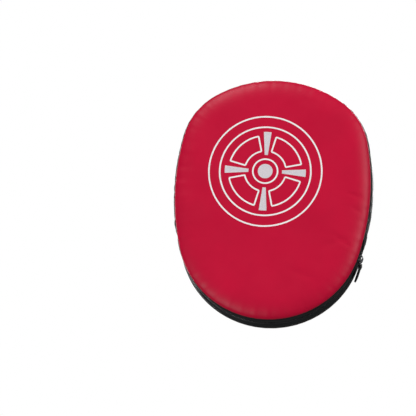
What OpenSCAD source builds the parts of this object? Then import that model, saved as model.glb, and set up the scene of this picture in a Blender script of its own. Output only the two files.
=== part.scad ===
// Curved focus mitt: a padded hand target for punching and kicking drills, worn on the left hand.
// Frame: +Z towards the fingertips, -Y out of the striking face, +Y towards the holder.
// Origin: on the outer face of the back panel, where the centre of the palm bears.

/* [Pad] */
// Length of the pad, wrist end to finger end
pad_l = 250; // [235:1:265]
// Width of the pad at its widest
pad_w = 200; // [194:1:208]
// Height above the pad's middle at which it is widest
widest_z = 11; // [6:1:18]
// Radius of the round wrist end, which the zip follows
wrist_r = 94; // [90:1:95]
// Radius of the arc across the finger end
finger_r = 120; // [114:1:130]
// Radius of the shoulders beside the finger end
shoulder_r = 67; // [60:1:72]
// Radius of the pad's slight lengthwise curve, at the back panel
curve_r = 3000; // [2500:250:6000]
// Width of the side band between the front and back seams
band_w = 45; // [40:1:50]
// Height of the padded face above the front seam
crown = 11; // [7:1:14]
// Width over which the face rounds off towards its seam
crown_edge = 26; // [18:1:32]
// Thickness of the synthetic leather
leather_t = 1.2; // [0.9:0.1:1.4]

/* [Zip] */
// Half width of the slot between the two zip facings
zip_slot = 5.5; // [5:0.5:7]
// Angle of the slider at rest, below the pad's right side
slider_a = 13; // [12.5:0.5:20]
// Height at which the upper band's hem ends over the zip facings
hem_z = -38; // [-40:1:-30]

/* [Hand cover] */
// Height of the finger edge above the palm's centre, at the middle
cover_top = 80; // [74:1:84]
// Height of the wrist edge
cover_bottom = -66; // [-70:1:-64]
// Height of the arch over the palm and wrist
cover_h = 28; // [26:1:32]
// Half width of the arch at the wrist
cover_hw = 47; // [45:1:50]
// Number of finger stalls
stalls = 4; // [3:1:4]
// Width of the flange that is sewn to the back panel
flange_w = 7; // [5:1:9]
// Radius of the thumb hole
thumb_r = 11; // [9:0.5:12]

/* [Wrist strap] */
// Width of the strap
strap_w = 32; // [28:1:33]
// Angle at which the strap stands open at rest
strap_open = 72; // [60:1:75]

/* [Hidden] */
$fn = 96;

leather_black = "#17191b";
leather_red = "#b8142f";
foam_grey = "#8d9094";
foam_white = "#e4e2da";
tape_black = "#202124";
metal_dark = "#3c3e42";

front_r = curve_r - band_w;      // curve radius of the front seam
gap = 0.2;                       // running gap between stacked layers
foam_inset = 3.8;                // foam to band's outer face, room for the zip tape
foam_face_t = 6;                 // how far the soft face layer reaches behind the front seam
foam_hand_t = 8;                 // thickness of the soft layer under the hand
slab_fn = 256;                   // the curved faces' circles are large

// ---- Outline: four tangent arcs a side, in the X-Z plane ----

wrist_c = [0, wrist_r - pad_l / 2];
finger_c = [0, pad_l / 2 - finger_r];
rise = widest_z - wrist_c[1];
side_r = ((pad_w / 2) ^ 2 + rise ^ 2 - wrist_r ^ 2) / (pad_w - 2 * wrist_r);
side_c = [pad_w / 2 - side_r, widest_z];
shoulder_c = meeting_point(finger_c, finger_r - shoulder_r, side_c, side_r - shoulder_r);

// The point at distance ra from a and rb from b, on the +X side
function meeting_point(a, ra, b, rb) =
    let (d = norm(b - a),
         along = (ra ^ 2 - rb ^ 2 + d ^ 2) / (2 * d),
         across = sqrt(ra ^ 2 - along ^ 2),
         u = (b - a) / d)
    a + along * u + across * [u[1], -u[0]] * sign(u[1]);

function angle_of(v) = atan2(v[1], v[0]);
function arc(c, r, a0, a1, n) = [for (i = [0:n - 1]) let (a = a0 + (a1 - a0) * i / n) c + r * [cos(a), sin(a)]];

side_a0 = angle_of(wrist_c - side_c);
side_a1 = angle_of(shoulder_c - side_c);
shoulder_a1 = angle_of(shoulder_c - finger_c);

// The right half of the outline, from the wrist end to the finger end, moved inwards by d
function half_outline(d) = concat(
    arc(wrist_c, wrist_r - d, -90, side_a0, 20),
    arc(side_c, side_r - d, side_a0, side_a1, 8),
    arc(shoulder_c, shoulder_r - d, side_a1, shoulder_a1, 14),
    arc(finger_c, finger_r - d, shoulder_a1, 90, 8),
    [finger_c + [0, finger_r - d]]);

function outline(d) =
    let (right = half_outline(d), n = len(right))
    concat(right, [for (i = [n - 2:-1:1]) [-right[i][0], right[i][1]]]);

ring_n = len(outline(0));

// Y of the curved face of radius r at height z
function face_y(r, z) = sqrt(r ^ 2 - z ^ 2) - curve_r;

// ---- Solids shared by the layers ----

module prism(d, y0 = -90, y1 = 20)
    translate([0, y1, 0]) rotate([90, 0, 0]) linear_extrude(y1 - y0) polygon(outline(d));

// The space between two curved faces of radius r0 and r1
module slab(r0, r1)
    translate([0, -curve_r, 0]) rotate([0, 90, 0]) difference() {
        cylinder(r = r1, h = pad_w + 40, center = true, $fn = slab_fn);
        cylinder(r = r0, h = pad_w + 60, center = true, $fn = slab_fn);
    }

module layer(d, r0, r1)
    intersection() {
        prism(d);
        slab(r0, r1);
    }

// A band of leather from inset d0 to d1, between two curved faces
module band(d0, d1, r0, r1)
    intersection() {
        difference() {
            prism(d0);
            prism(d1, -95, 25);
        }
        slab(r0, r1);
    }

// Two triangles for each cell of a grid of points; wrap joins each row's ends
function cells(rows, n, start, wrap, flip) = [
    for (k = [0:rows - 2], i = [0:wrap ? n - 1 : n - 2])
        let (a = start + k * n + i, b = start + k * n + (i + 1) % n, c = b + n, d = a + n)
        each flip ? [[a, b, c], [a, c, d]] : [[a, c, b], [a, d, c]]];

function fan(start, n, apex, flip) = [
    for (i = [0:n - 1])
        flip ? [start + i, start + (i + 1) % n, apex] : [start + (i + 1) % n, start + i, apex]];

// A closed solid over rings of points, from the rings' first to last, with an apex at both ends
module ring_solid(rings, apex_first, apex_last)
    polyhedron(
        points = concat([for (r = rings) each r], [apex_first, apex_last]),
        faces = concat(
            cells(len(rings), ring_n, 0, true, true),
            fan(0, ring_n, len(rings) * ring_n, false),
            fan((len(rings) - 1) * ring_n, ring_n, len(rings) * ring_n + 1, true)),
        convexity = 6);

// A closed sheet between an outer and an inner grid of the same shape
module sheet_solid(outer, inner)
    let (rows = len(outer), n = len(outer[0]), m = rows * n)
    polyhedron(
        points = concat([for (r = outer) each r], [for (r = inner) each r]),
        faces = concat(
            cells(rows, n, 0, false, false),
            cells(rows, n, m, false, true),
            [for (k = [0:rows - 2], s = [0, 1])
                let (a = k * n + s * (n - 1), b = a + n)
                each s == 0 ? [[a, a + m, b + m], [a, b + m, b]] : [[a, b + m, a + m], [a, b, b + m]]],
            [for (i = [0:n - 2], s = [0, 1])
                let (a = s * (rows - 1) * n + i, b = a + 1)
                each s == 0 ? [[a, b + m, a + m], [a, b, b + m]] : [[a, a + m, b + m], [a, b + m, b]]]),
        convexity = 10);

// ---- Padded face ----

// A ring of the outline, inset by d, on the curved face of radius r, shrunk by s towards the middle
function ring(d, r, s = 1) = [for (p = outline(d)) [p[0] * s, face_y(r, p[1] * s), p[1] * s]];

// Rings of the crowned face from its seam inwards: edge inset d0, rise h
function crown_rings(d0, h) = concat(
    [for (a = [0, 22, 45, 67, 90])
        ring(d0 + (crown_edge - d0) * (1 - cos(a)), front_r - gap - h * sin(a))],
    [for (s = [0.6, 0.3]) ring(crown_edge, front_r - gap - h, s)]);

function middle(r) = [0, face_y(r, 0), 0];

module face_panel()
    color(leather_red)
    let (outer = crown_rings(0, crown),
         inner = crown_rings(leather_t, crown - leather_t),
         rings = concat([for (i = [len(inner) - 1:-1:0]) inner[i]], outer))
    ring_solid(rings, middle(front_r - gap - crown + leather_t), middle(front_r - gap - crown));

module face_foam()
    color(foam_white)
    let (base_r = front_r + foam_face_t,
         top = crown_rings(foam_inset, crown - leather_t - gap),
         bottom = [for (s = [0.3, 0.65, 1]) ring(foam_inset, base_r, s)])
    ring_solid(concat(bottom, top), middle(base_r), middle(front_r - crown + leather_t));

// ---- Foam block and covers ----

module core_foam()
    color(foam_grey)
    difference() {
        layer(foam_inset, front_r + foam_face_t + gap, curve_r - leather_t - foam_hand_t - 2 * gap);
        zip_ring(0, 180) translate([slider_in - 0.8, -8]) square([12, 16]);
        zip_ring(0, 180) translate([tape_r - 0.2, -tape_edge - 0.4]) square([8, 2 * tape_edge + 0.8]);
    }

module hand_foam()
    color(foam_white)
    layer(foam_inset, curve_r - leather_t - foam_hand_t - gap, curve_r - leather_t - gap);

module back_panel()
    color(leather_black)
    layer(0, curve_r - leather_t, curve_r);

module side_band()
    color(leather_black)
    intersection() {
        band(0, leather_t, front_r, curve_r - leather_t - 0.1);
        translate([-150, -100, hem_z]) cube([300, 150, 200]);
    }

// The band below the hem is two facings with the zip between them
module zip_facing(y0, y1)
    color(leather_black)
    intersection() {
        band(leather_t + gap, 2 * leather_t + gap, front_r, curve_r - leather_t - 0.1);
        translate([-150, y0, -160]) cube([300, y1 - y0, 160 + hem_z + 13]);
    }

module zip_facing_front() zip_facing(-100, zip_y - zip_slot);
module zip_facing_back() zip_facing(zip_y + zip_slot, 30);

// ---- Zip: everything lies on circles about the wrist end's centre ----

zip_y = -band_w / 2 - 1.7;       // plane of the chain, half way along the pad's curve
tape_r = wrist_r - 3.4;          // inner face of the tapes
tape_t = 0.6;
tape_edge = 13;                  // half width of the two tapes together
coil_half = 2.4;                 // half width of the closed chain
coil_slit = 0.5;                 // half width of the slit that the slider's wedge runs in
coil_in = wrist_r - 3.7;
coil_out = wrist_r - 1.3;
zip_a0 = 9;                      // chain's end below the right side
zip_a1 = 168;                    // chain's end below the left side
slider_in = wrist_r - 5.6;       // inner plate's inner face
slider_out = wrist_r + 0.6;      // outer plate's outer face
plate_t = 1.4;
slider_half_a = 3;
eye_r = wrist_r + 2.2;           // radius at which the bridge's eye lies
eye_hole = 1.1;
post_z = -8;                     // swing post, measured from the eye along the link
link_lean = 8;                   // the link leans in, so that the tab lies against the pad
tab_a = 62;                      // how far the tab lies over towards the back at rest
tab_w = 8.5;
tab_l = 27;
tab_t = 1.8;
tab_gap = 0.8;                   // link's middle plane to the tab's inner face

// Turns a profile, X radial and Y across the tape, about the wrist end's centre
module zip_ring(a0, a1)
    translate([0, zip_y, wrist_c[1]]) rotate([-90, 0, 0]) rotate([0, 0, a0])
        rotate_extrude(angle = a1 - a0, $fn = 180) children();

// Places a piece drawn on the pad's right side at the slider's angle
module at_slider()
    translate([0, zip_y, wrist_c[1]]) rotate([0, slider_a, 0]) children();

// Places a piece of the pull, drawn about the eye and hanging down -Z, +X outwards
module at_eye()
    at_slider() translate([eye_r, 0, 0]) rotate([0, link_lean, 0]) children();

module zip_tape(s)
    color(tape_black)
    zip_ring(zip_a0 - 6, zip_a1 + 6) mirror([0, s < 0 ? 1 : 0])
        translate([tape_r, coil_half + 0.1]) square([tape_t, tape_edge - coil_half - 0.1]);

module zip_coil(s)
    color(tape_black)
    zip_ring(zip_a0, zip_a1) mirror([0, s < 0 ? 1 : 0])
        translate([coil_in, coil_slit]) square([coil_out - coil_in, coil_half - coil_slit]);

module zip_stop(a)
    color(metal_dark)
    zip_ring(a, a + 1.4) translate([coil_in - 0.1, -3]) square([coil_out - coil_in + 0.4, 6]);

module zip_tape_front() zip_tape(-1);
module zip_tape_back() zip_tape(1);
module zip_coil_front() zip_coil(-1);
module zip_coil_back() zip_coil(1);
module zip_stop_top()
    difference() {
        zip_stop(zip_a0 - 1.5);
        stop_tape_cut();
    }
module zip_stop_bottom()
    difference() {
        zip_stop(zip_a1 + 0.1);
        stop_tape_cut();
    }

// Room for the two tapes through a stop
module stop_tape_cut()
    for (s = [0, 1])
        zip_ring(0, 180) mirror([0, s])
            translate([tape_r - 0.1, coil_half]) square([tape_t + 0.2, 20]);

module zip_slider()
    color(metal_dark) {
        zip_ring(slider_a - slider_half_a, slider_a + slider_half_a) slider_profile();
        at_slider() difference() {
            union() {
                translate([slider_out - 0.2, -0.9, -4]) cube([eye_r - slider_out + 0.2, 1.8, 8]);
                translate([eye_r, 0.9, 0]) rotate([90, 0, 0]) cylinder(r = 2, h = 1.8);
            }
            translate([eye_r, 5, 0]) rotate([90, 0, 0]) cylinder(r = eye_hole, h = 10);
        }
    }

// Two plates, their flanges beside the chain, and the wedge between them
module slider_profile() {
    translate([slider_in, -4.6]) square([plate_t, 9.2]);
    translate([slider_out - plate_t, -4.6]) square([plate_t, 9.2]);
    translate([slider_in, -0.3]) square([slider_out - slider_in, 0.6]);
    for (s = [0, 1]) mirror([0, s]) {
        translate([slider_in, 3.2]) square([tape_r - 0.4 - slider_in, 1.4]);
        translate([tape_r + tape_t + 0.4, 3.2]) square([slider_out - tape_r - tape_t - 0.4, 1.4]);
    }
}

module pull_link()
    color(metal_dark)
    at_eye() {
        translate([0, 3.4, 0]) rotate([90, 0, 0]) cylinder(r = 0.8, h = 6.8);
        for (y = [-3.4, 2.2]) translate([-0.6, y, post_z]) cube([1.2, 1.2, -post_z]);
        translate([-0.6, -3.4, post_z - 3]) cube([1.1, 6.8, 6]);
        translate([0.3, 0, post_z]) rotate([0, 90, 0]) cylinder(r = 1.2, h = tab_gap + tab_t);
        translate([tab_gap + tab_t + 0.3, 0, post_z]) rotate([0, 90, 0]) cylinder(r = 2, h = 0.5);
    }

module pull_tab()
    color(tape_black)
    at_eye() translate([tab_gap, 0, post_z]) rotate([tab_a, 0, 0]) difference() {
        union() {
            for (z = [0, tab_w - tab_l])
                translate([0, 0, z]) rotate([0, 90, 0]) cylinder(r = tab_w / 2, h = tab_t);
            translate([0, -tab_w / 2, tab_w - tab_l]) cube([tab_t, tab_w, tab_l - tab_w]);
        }
        translate([-1, 0, 0]) rotate([0, 90, 0]) cylinder(r = 1.4, h = tab_t + 2);
        translate([tab_t - 0.5, -2.4, tab_w - tab_l - 1.5]) cube([2, 4.8, tab_l - tab_w - 2]);
    }

// ---- Hand cover: one sheet, gathered into finger stalls at its upper edge ----

cover_t = 1.3;
cover_steps = 10 * stalls;       // grid cells across the cover
cover_rows = 15;
cover_lift = 0.3;                // flange to back panel
stall_z0 = 12;                   // the stalls start here and are full at stall_z1
stall_z1 = 58;
valley = 0.24;                   // height of the folds between stalls, as a share of the stalls' own
outer_stall = 0.42;              // the stalls get lower towards both sides

function smooth(a, b, x) = let (t = min(1, max(0, (x - a) / (b - a)))) t * t * (3 - 2 * t);
function mix(a, b, t) = a + (b - a) * t;

wrist_zone = -31;                // below this the arch is straight, for the strap
function cover_half(z) =
    lookup(z, [[wrist_zone, cover_hw], [-5, cover_hw - 3], [25, cover_hw - 1], [80, cover_hw + 11]]);
function cover_height(z) =
    lookup(z, [[wrist_zone, cover_h], [5, cover_h + 2], [40, cover_h - 1], [80, cover_h - 3]]);
function cover_base(z) = face_y(curve_r, max(z, wrist_zone)) + cover_lift;
function arch_r(hw, h) = (hw ^ 2 + h ^ 2) / (2 * h);

// Outer face of the cover at height z; u runs from -1 to 1 across the arch, and beyond on the flanges
function cover_xy(u, z) =
    let (hw = cover_half(z),
         h = cover_height(z) - cover_t,
         r = arch_r(hw, h),
         a = u * asin(hw / r),
         flat = [sign(u) * (hw + (abs(u) - 1) * flange_w * 10), 0],
         round = [r * sin(a), h - r + r * cos(a)],
         folds = pow(abs(sin(180 * stalls / 2 * u)), 0.7),
         depth = h * mix(outer_stall, 1, cos(90 * u)),
         lobes = [hw * u, depth * mix(folds, mix(valley, 1, folds), 1 - smooth(0.88, 1, abs(u)))],
         p = abs(u) > 1 ? flat : mix(round, lobes, smooth(stall_z0, stall_z1, z)))
    [p[0], p[1] + cover_t + cover_base(z)];

// The same point moved by t along the section's outward normal
function cover_offset(u, z, t) =
    let (e = 0.01, d = cover_xy(u + e, z) - cover_xy(u - e, z), n = [-d[1], d[0]] / norm(d), p = cover_xy(u, z))
    [p[0] + t * n[0], p[1] + t * n[1], z];

function finger_edge(u) = cover_top - 7 * min(1, abs(u)) ^ 2;
cover_us = concat([-1.1], [for (i = [0:cover_steps]) -1 + 2 * i / cover_steps], [1.1]);
binding_w = 4;

// A grid of the cover's face moved by t, between two edges given as heights at u
function cover_grid(t, rows, low, high) = [
    for (k = [0:rows - 1]) [
        for (u = cover_us)
            cover_offset(u, mix(low < -900 ? finger_edge(u) - binding_w : low,
                                high > 900 ? finger_edge(u) - binding_w - 0.1
                                : high > 800 ? finger_edge(u) : high, k / (rows - 1)), t)]];

module hand_cover()
    color(leather_black)
    difference() {
        sheet_solid(cover_grid(0, cover_rows, cover_bottom + binding_w + 0.1, 999),
                    cover_grid(-cover_t, cover_rows, cover_bottom + binding_w + 0.1, 999));
        translate([-36, 19, 12]) rotate([-90, 0, 50])
            cylinder(r = thumb_r, h = 28, center = true, $fn = 32);
    }

module finger_binding()
    color(tape_black)
    sheet_solid(cover_grid(0.4, 2, -999, 899), cover_grid(-cover_t - 0.1, 2, -999, 899));

module wrist_binding()
    color(tape_black)
    sheet_solid(cover_grid(0.4, 2, cover_bottom, cover_bottom + binding_w),
                cover_grid(-cover_t - 0.1, 2, cover_bottom, cover_bottom + binding_w));

// ---- Wrist strap: arcs about the wrist arch's own centre ----

strap_arc_r = arch_r(cover_hw, cover_h - cover_t);
strap_c = [0, cover_h - strap_arc_r + cover_base(wrist_zone)];
strap_z = wrist_zone - 1.2;      // the strap's upper edge
hinge_a = 35;                    // the strap turns at this angle from the arch's top, on the thumb side
loop_in = strap_arc_r + 0.8;
loop_t = 1.0;
hook_t = 0.6;
strap_in = loop_in + loop_t + hook_t + 2 * gap;
strap_t = 1.6;
hinge_r = strap_in + strap_t / 2;
strap_hinge = strap_c + hinge_r * [-sin(hinge_a), cos(hinge_a)];

// A curved strip between two angles from the arch's top, positive towards the little finger
module strap_arc(r, t, a0, a1)
    translate([strap_c[0], strap_c[1], strap_z - strap_w]) rotate([0, 0, 90 - a1])
        rotate_extrude(angle = a1 - a0, $fn = 180) translate([r, 0]) square([t, strap_w]);

module opened()
    translate([strap_hinge[0], strap_hinge[1], 0]) rotate([0, 0, strap_open])
        translate([-strap_hinge[0], -strap_hinge[1], 0]) children();

module loop_strap()
    color(tape_black) strap_arc(loop_in, loop_t, -12, 58.5);

module strap_root()
    color(leather_black) strap_arc(strap_in, strap_t, -60, -hinge_a - 3);

module wrist_strap()
    color(leather_black) opened() strap_arc(strap_in, strap_t, -hinge_a, 46);

module hook_patch()
    color(tape_black) opened() strap_arc(strap_in - hook_t - 0.05, hook_t, 12, 44);

face_panel();
face_foam();
core_foam();
hand_foam();
back_panel();
side_band();
zip_facing_front();
zip_facing_back();
zip_tape_front();
zip_tape_back();
zip_coil_front();
zip_coil_back();
zip_stop_top();
zip_stop_bottom();
zip_slider();
pull_link();
pull_tab();
hand_cover();
finger_binding();
wrist_binding();
loop_strap();
strap_root();
wrist_strap();
hook_patch();
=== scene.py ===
"""Focus mitt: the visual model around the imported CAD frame.

Row frame: +Z towards the fingertips, -Y out of the striking face, +Y towards the holder.
Shape functions work in millimetres, and mesh_object() turns them into metres.
"""
import math

import bmesh
import bpy
import numpy as np
from mathutils import Matrix, Vector


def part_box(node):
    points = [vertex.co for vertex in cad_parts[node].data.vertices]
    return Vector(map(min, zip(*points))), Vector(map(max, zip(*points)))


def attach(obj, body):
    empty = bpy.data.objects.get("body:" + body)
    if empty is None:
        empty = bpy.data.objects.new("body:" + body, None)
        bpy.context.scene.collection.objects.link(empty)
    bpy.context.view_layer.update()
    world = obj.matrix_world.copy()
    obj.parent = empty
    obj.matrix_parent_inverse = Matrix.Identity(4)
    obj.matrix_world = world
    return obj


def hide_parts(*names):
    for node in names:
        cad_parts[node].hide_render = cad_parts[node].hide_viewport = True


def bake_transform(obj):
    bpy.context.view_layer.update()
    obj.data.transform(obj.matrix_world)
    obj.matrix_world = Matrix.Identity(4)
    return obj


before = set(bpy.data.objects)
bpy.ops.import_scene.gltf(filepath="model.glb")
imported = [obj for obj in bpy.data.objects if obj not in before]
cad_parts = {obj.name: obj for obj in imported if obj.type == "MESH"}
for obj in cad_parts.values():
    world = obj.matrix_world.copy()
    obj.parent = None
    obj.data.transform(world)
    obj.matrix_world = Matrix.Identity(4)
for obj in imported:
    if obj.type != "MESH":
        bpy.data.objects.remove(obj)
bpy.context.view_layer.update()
MM = 0.001


def node_box(name):
    """A CAD node's lowest and highest corners, in millimetres."""
    low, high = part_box(name)
    return np.array(low) / MM, np.array(high) / MM


# ---- Sizes, in millimetres ----

PAD_LOW, PAD_HIGH = node_box("back_panel")
PAD_L = PAD_HIGH[2] - PAD_LOW[2]
PAD_W = PAD_HIGH[0] - PAD_LOW[0]
# The face's and the back's rings close on this (x, z) point
PAD_MIDDLE = np.array([0.0, 8.0])
CURVE_R = 3000.0
BAND_W = 45.0
CROWN = 11.0
CROWN_EDGE = 26.0
SEAM_IN = 1.0
WIDEST_Z = 11.0
WRIST_R, FINGER_R, SHOULDER_R = 94.0, 120.0, 67.0
HEM_Z = node_box("side_band")[0][2]
FACING_TOP = node_box("zip_facing_front")[1][2]
ZIP_Y = float(np.mean([node_box("zip_slider")[0][1], node_box("zip_slider")[1][1]]))
ZIP_SLOT = 5.5
TAPE_R = WRIST_R - 3.4


# ---- The pad's outline: arcs that meet at tangents, measured from the wrist end ----

def meeting_point(a, ra, b, rb):
    """The point at distance ra from a and rb from b, on the +X side."""
    d = np.linalg.norm(b - a)
    along = (ra ** 2 - rb ** 2 + d ** 2) / (2 * d)
    across = math.sqrt(ra ** 2 - along ** 2)
    u = (b - a) / d
    return a + along * u + across * np.array([u[1], -u[0]]) * np.sign(u[1])


def angle_of(v):
    """Direction of an (x, z) vector, in radians from +X."""
    return math.atan2(v[1], v[0])


WRIST_C = np.array([0.0, WRIST_R - PAD_L / 2])
FINGER_C = np.array([0.0, PAD_L / 2 - FINGER_R])
SIDE_R = ((PAD_W / 2) ** 2 + (WIDEST_Z - WRIST_C[1]) ** 2 - WRIST_R ** 2) / (PAD_W - 2 * WRIST_R)
SIDE_C = np.array([PAD_W / 2 - SIDE_R, WIDEST_Z])
SHOULDER_C = meeting_point(FINGER_C, FINGER_R - SHOULDER_R, SIDE_C, SIDE_R - SHOULDER_R)
MIRROR = np.array([-1.0, 1.0])
TURN_SIDE = angle_of(WRIST_C - SIDE_C)
TURN_SHOULDER = angle_of(SHOULDER_C - SIDE_C)
TURN_FINGER = angle_of(SHOULDER_C - FINGER_C)
# Centre, radius, first and last angle
ARCS = [
    (WRIST_C, WRIST_R, -math.pi / 2, TURN_SIDE),
    (SIDE_C, SIDE_R, TURN_SIDE, TURN_SHOULDER),
    (SHOULDER_C, SHOULDER_R, TURN_SHOULDER, TURN_FINGER),
    (FINGER_C, FINGER_R, TURN_FINGER, math.pi - TURN_FINGER),
    (SHOULDER_C * MIRROR, SHOULDER_R, math.pi - TURN_FINGER, math.pi - TURN_SHOULDER),
    (SIDE_C * MIRROR, SIDE_R, math.pi - TURN_SHOULDER, math.pi - TURN_SIDE),
    (WRIST_C, WRIST_R, math.pi - TURN_SIDE, 1.5 * math.pi),
]
ARC_START = np.cumsum([0] + [r * (a1 - a0) for _, r, a0, a1 in ARCS])
OUTLINE_L = ARC_START[-1]


def outline(s):
    """Points and outward normals at distances s along the outline, from the wrist end towards +X."""
    s = np.mod(s, OUTLINE_L)
    k = np.clip(np.searchsorted(ARC_START, s, side="right") - 1, 0, len(ARCS) - 1)
    centres = np.array([a[0] for a in ARCS])[k]
    radii = np.array([a[1] for a in ARCS])[k]
    angles = np.array([a[2] for a in ARCS])[k] + (s - ARC_START[k]) / radii
    normals = np.stack([np.cos(angles), np.sin(angles)], -1)
    return centres + normals * radii[..., None], normals


def outward(s):
    """Outward directions in space at distances s along the outline."""
    n = outline(s)[1]
    return np.stack([n[:, 0], 0 * s, n[:, 1]], -1)


def distance_at_height(z):
    """Distance along the outline's +X side to height z."""
    s = np.linspace(0, OUTLINE_L / 2, 4000)
    return float(np.interp(z, outline(s)[0][:, 1], s))


def curved_y(depth, z):
    """Y of the pad's curved layer that lies depth in front of the back panel."""
    return np.sqrt((CURVE_R - depth) ** 2 - z ** 2) - CURVE_R


def layer(q, depth):
    """Points at (x, z) pairs q on the pad's curved layer at depth."""
    return np.stack([q[..., 0], curved_y(depth, q[..., 1]), q[..., 1]], -1)


def inside(s, inset):
    """(x, z) pairs at distances s along the outline, moved in by inset."""
    p, n = outline(s)
    return p - n * np.asarray(inset)[..., None]


def pad_point(s, inset, depth):
    """Points at distances s along the outline, moved in by inset, on the layer at depth."""
    return layer(inside(s, inset), depth)


# ---- Shape helpers ----

def smooth(a, b, x):
    """0 up to a, 1 from b on, and a smooth step between."""
    t = np.clip((np.asarray(x, float) - a) / (b - a), 0, 1)
    return t * t * (3 - 2 * t)


def bell(x, width):
    """1 at x = 0, falling away on both sides over width."""
    return np.exp(-(x / width) ** 2)


def edge_drop(distance, radius):
    """How far a rounded edge has fallen away, at a distance in from it."""
    gap = np.clip(radius - distance, 0, radius)
    return radius - np.sqrt(np.maximum(0, radius ** 2 - gap ** 2))


def full_turn(count):
    """Equal angles once round, in radians."""
    return np.linspace(0, 2 * math.pi, count, endpoint=False)


def unit(v):
    """Vectors scaled to length 1."""
    return v / np.linalg.norm(v, axis=-1, keepdims=True)


def run_along(path):
    """Distance along a path at each of its points."""
    steps = np.linalg.norm(np.diff(path, axis=0), axis=1)
    return np.concatenate([[0], np.cumsum(steps)])


def ripples(seed, waves=9):
    """A smooth random field in two variables, about -1 to 1, with a wavelength near 1."""
    rng = np.random.default_rng(seed)
    turn = rng.uniform(0, 2 * math.pi, waves)
    scale = rng.uniform(0.7, 1.5, waves)
    phase = rng.uniform(0, 2 * math.pi, waves)
    kx = 2 * math.pi * scale * np.cos(turn)
    ky = 2 * math.pi * scale * np.sin(turn)

    def field(x, y):
        total = sum(np.sin(kx[i] * x + ky[i] * y + phase[i]) for i in range(waves))
        return total / math.sqrt(waves) * 0.8

    return field


def periodic_ripples(seed, count, waves=5):
    """A smooth random field round the outline, with about count swells in all."""
    rng = np.random.default_rng(seed)
    turns = np.round(rng.uniform(0.6, 1.5, waves) * count)
    phase = rng.uniform(0, 2 * math.pi, waves)

    def field(s):
        total = sum(np.sin(2 * math.pi * turns[i] * s / OUTLINE_L + phase[i]) for i in range(waves))
        return total / math.sqrt(waves)

    return field


def grid_faces(rows, cols, wrap=False, start=0):
    """Faces of a grid of points; wrap joins each row's last point to its first."""
    last = cols if wrap else cols - 1
    return [(start + k * cols + i, start + k * cols + (i + 1) % cols,
             start + (k + 1) * cols + (i + 1) % cols, start + (k + 1) * cols + i)
            for k in range(rows - 1) for i in range(last)]


def torus_faces(rows, cols):
    """Faces of a grid of points that closes on itself both ways."""
    return [(k * cols + i, k * cols + (i + 1) % cols,
             (k + 1) % rows * cols + (i + 1) % cols, (k + 1) % rows * cols + i)
            for k in range(rows) for i in range(cols)]


def tube_faces(rows, cols, start=0):
    """Faces of a tube of rings, capped at both ends."""
    last = start + (rows - 1) * cols
    caps = [tuple(range(start, start + cols))[::-1], tuple(range(last, last + cols))]
    return grid_faces(rows, cols, wrap=True, start=start) + caps


def closed_sheet(outer, inner):
    """Points and faces of a solid between two grids of points."""
    rows, cols = outer.shape[:2]
    m = rows * cols
    points = np.concatenate([outer.reshape(-1, 3), inner.reshape(-1, 3)])
    faces = grid_faces(rows, cols) + [tuple(i + m for i in f[::-1]) for f in grid_faces(rows, cols)]
    rim = [k * cols for k in range(rows)] + [(rows - 1) * cols + i for i in range(1, cols)]
    rim += [k * cols + cols - 1 for k in range(rows - 2, -1, -1)] + list(range(cols - 2, 0, -1))
    faces += [(a, b, b + m, a + m) for a, b in zip(rim, rim[1:] + rim[:1])]
    return points, faces


def ring_solid(rings, first, last):
    """Points and faces of a solid over closed rings, with a point at both ends."""
    n = len(rings[0])
    m = n * len(rings)
    points = np.concatenate([np.concatenate(rings), [first, last]])
    faces = grid_faces(len(rings), n, wrap=True)
    faces += [((i + 1) % n, i, m) for i in range(n)]
    faces += [(m - n + i, m - n + (i + 1) % n, m + 1) for i in range(n)]
    return points, faces


def joined(parts):
    """Points and faces of several parts as one."""
    points, faces = [], []
    for p, f in parts:
        base = sum(len(q) for q in points)
        points.append(np.asarray(p, float))
        faces += [tuple(i + base for i in face) for face in f]
    return np.concatenate(points), faces


def new_object(name, data):
    """An object in the scene's collection."""
    obj = bpy.data.objects.new(name, data)
    bpy.context.scene.collection.objects.link(obj)
    return obj


def add_bevel(obj, width, segments, angle, harden):
    """Round the edges that turn by more than angle degrees."""
    bevel = obj.modifiers.new("bevel", "BEVEL")
    bevel.width = width * MM
    bevel.segments = segments
    bevel.limit_method = "ANGLE"
    bevel.angle_limit = math.radians(angle)
    bevel.harden_normals = harden


def mesh_object(name, points, faces, body, materials, bevel=0.0, sharp=60):
    """A piece that rides on body, from points in millimetres, smooth-shaded up to sharp degrees."""
    mesh = bpy.data.meshes.new(name)
    mesh.from_pydata((np.asarray(points) * MM).tolist(), [], faces)
    for material in materials if isinstance(materials, list) else [materials]:
        mesh.materials.append(material)
    obj = new_object(name, mesh)
    bm = bmesh.new()
    bm.from_mesh(mesh)
    bmesh.ops.remove_doubles(bm, verts=bm.verts, dist=1e-7)
    bmesh.ops.recalc_face_normals(bm, faces=bm.faces)
    bm.to_mesh(mesh)
    bm.free()
    mesh.polygons.foreach_set("use_smooth", [True] * len(mesh.polygons))
    if bevel:
        add_bevel(obj, bevel, segments=3, angle=35, harden=True)
    else:
        mesh.set_sharp_from_angle(angle=math.radians(sharp))
    if body:
        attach(obj, body)
    return obj


# ---- Materials ----

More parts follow.
